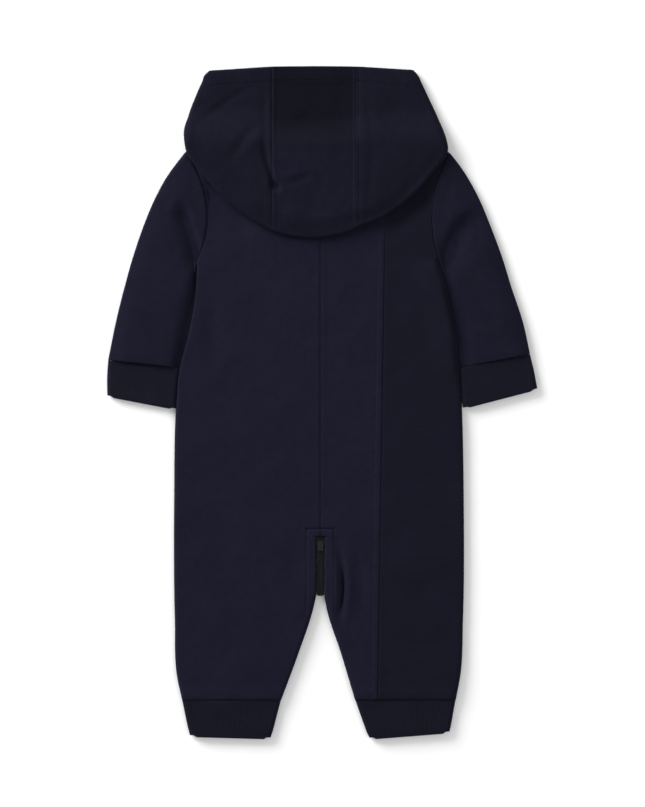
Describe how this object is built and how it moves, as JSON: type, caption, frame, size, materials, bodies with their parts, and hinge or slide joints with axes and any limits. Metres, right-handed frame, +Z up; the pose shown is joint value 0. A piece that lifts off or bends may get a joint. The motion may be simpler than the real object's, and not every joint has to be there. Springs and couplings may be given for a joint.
{
  "type": "baby hooded onesie",
  "caption": "Baby's one-piece hooded suit in dark navy fleece, laid flat on its front with the hood folded over the back and a zip through the crotch.",
  "frame": {"origin": "middle of the outline, on the surface the garment lies on", "axes": "+Y from the legs to the hood, +Z up out of the garment's back, +X to the right seen from above"},
  "size_m": [0.3964, 0.6201, 0.015],
  "materials": {
    "navy_fleece": "brushed cotton fleece, matt",
    "navy_side_knit": "fine cross-ribbed knit, matt",
    "navy_rib_knit": "rib knit, matt",
    "zip_charcoal": "woven tape and nylon coil",
    "zip_dark_metal": "dark lacquered metal"
  },
  "bodies": {
    "garment": {"back_left": "navy_fleece", "back_right": "navy_fleece", "back_side": "navy_side_knit", "front_left": "navy_fleece", "front_right": "navy_fleece", "sleeve_left": "navy_fleece", "sleeve_right": "navy_fleece", "sleeve_cuff_left": "navy_rib_knit", "sleeve_cuff_right": "navy_rib_knit", "leg_cuff_left": "navy_rib_knit", "leg_cuff_right": "navy_rib_knit", "hood_left": "navy_fleece", "hood_centre": "navy_fleece", "hood_right": "navy_fleece", "zip_strip": "zip_charcoal", "zip_stop": "zip_charcoal", "zip_slider": "zip_dark_metal"},
    "zip_pull": {"zip_pull": "zip_dark_metal"}
  },
  "joints": [
    {"name": "zip_pull_hinge", "type": "hinge", "parent": "garment", "child": "zip_pull", "pos_m": [-0.0014, 0.211, 0.0014], "axis": [1, 0, 0], "range_deg": [0, 150]}
  ]
}
